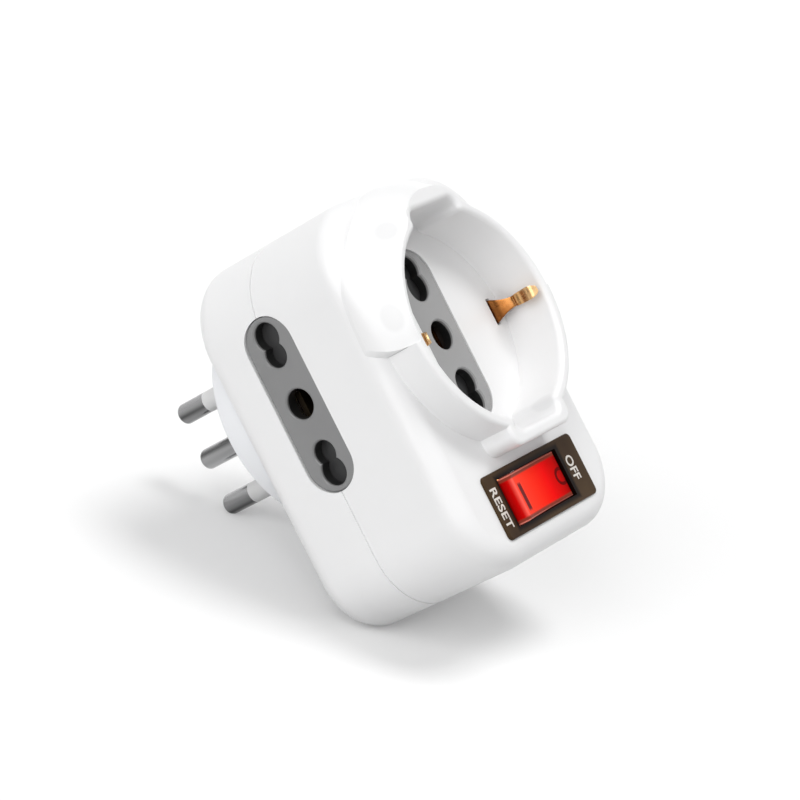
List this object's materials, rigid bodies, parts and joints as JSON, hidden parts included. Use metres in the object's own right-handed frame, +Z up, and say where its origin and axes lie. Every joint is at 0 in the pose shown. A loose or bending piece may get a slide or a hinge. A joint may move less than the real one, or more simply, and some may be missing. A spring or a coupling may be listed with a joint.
{
  "type": "rotating plug adapter",
  "caption": "White multi-socket wall adapter with a round recessed front socket, side sockets, a lit rocker switch and a three-pin plug on a turning base.",
  "frame": {"origin": "root of the centre pin on its axis, at the nose of the plug", "axes": "+Y along the pins towards the wall, +Z up along the row of pins, +X to the right seen from the front"},
  "size_m": [0.049, 0.0726, 0.0702],
  "materials": {
    "casing_white": "satin moulded",
    "plug_white": "satin moulded",
    "side_plate_grey": "fine matt",
    "front_plate_grey": "fine matt",
    "shutter_dark": "matt",
    "earth_copper": "bright copper",
    "contact_brass": "bright",
    "pin_steel": "nickel plated",
    "sleeve_white": "matt",
    "carrier_plastic": "matt",
    "spring_steel": "bright",
    "screw_steel": "zinc plated",
    "bezel_dark": "satin",
    "rocker_red": "translucent gloss",
    "switch_black": "matt",
    "bimetal": "rolled",
    "lamp_glass": "clear",
    "resistor_body": "enamel"
  },
  "bodies": {
    "casing": {"front_shell": "casing_white", "rear_shell": "casing_white", "casing_screws": "screw_steel", "front_plate": "front_plate_grey", "side_plate_left": "side_plate_grey", "side_plate_right": "side_plate_grey", "spring_front": "spring_steel", "spring_left": "spring_steel", "spring_right": "spring_steel", "earth_clip_left": "earth_copper", "earth_clip_right": "earth_copper", "line_bus": "contact_brass", "neutral_bus": "contact_brass", "earth_bus": "contact_brass", "line_arc": "contact_brass", "neutral_arc": "contact_brass", "contact_carrier": "carrier_plastic", "switch_bezel": "bezel_dark", "rocker_pin": "spring_steel", "switch_case": "switch_black", "terminal_in": "contact_brass", "terminal_lamp": "contact_brass", "terminal_out": "contact_brass", "bimetal_strip": "bimetal", "neon_lamp": "lamp_glass", "lamp_resistor": "resistor_body", "clip_front_line": "contact_brass", "clip_front_neutral": "contact_brass", "clip_front_earth": "contact_brass", "clip_left_line": "contact_brass", "clip_left_neutral": "contact_brass", "clip_left_earth": "contact_brass", "clip_right_line": "contact_brass", "clip_right_neutral": "contact_brass", "clip_right_earth": "contact_brass"},
    "plug": {"plug_base": "plug_white", "pin_line": "pin_steel", "pin_neutral": "pin_steel", "pin_earth": "pin_steel", "sleeve_line": "sleeve_white", "sleeve_neutral": "sleeve_white", "retaining_ring": "carrier_plastic", "ring_screws": "screw_steel"},
    "rocker": {"rocker": "rocker_red", "plunger": "switch_black"},
    "switch_arm": {"contact_arm": "contact_brass"},
    "shutter_left": {"shutter_left": "shutter_dark"},
    "shutter_right": {"shutter_right": "shutter_dark"},
    "shutter_front": {"shutter_front": "shutter_dark"}
  },
  "joints": [
    {"name": "plug_turn", "type": "hinge", "parent": "casing", "child": "plug", "pos_m": [0, 0, 0], "axis": [0, 1, 0], "range_deg": [0, 90]},
    {"name": "rocker_press", "type": "hinge", "parent": "casing", "child": "rocker", "pos_m": [-0.00125, -0.0436, -0.03145], "axis": [0, 0, -1], "range_deg": [0, 14]},
    {"name": "arm_tilt", "type": "hinge", "parent": "casing", "child": "switch_arm", "pos_m": [-0.00125, -0.039, -0.03145], "axis": [0, 0, 1], "range_deg": [0, 8]},
    {"name": "shutter_left_slide", "type": "slide", "parent": "casing", "child": "shutter_left", "axis": [0, 1, 0], "range_m": [0, 0.0052], "stiffness_N_per_m": 30, "springref_m": -0.002, "deforming": ["spring_left"]},
    {"name": "shutter_right_slide", "type": "slide", "parent": "casing", "child": "shutter_right", "axis": [0, 1, 0], "range_m": [0, 0.0052], "stiffness_N_per_m": 30, "springref_m": -0.002, "deforming": ["spring_right"]},
    {"name": "shutter_front_slide", "type": "slide", "parent": "casing", "child": "shutter_front", "axis": [1, 0, 0], "range_m": [0, 0.0052], "stiffness_N_per_m": 30, "springref_m": -0.002, "deforming": ["spring_front"]}
  ],
  "couplings": [
    {"joint": "arm_tilt", "follows": "rocker_press", "ratio": 0.57143}
  ]
}
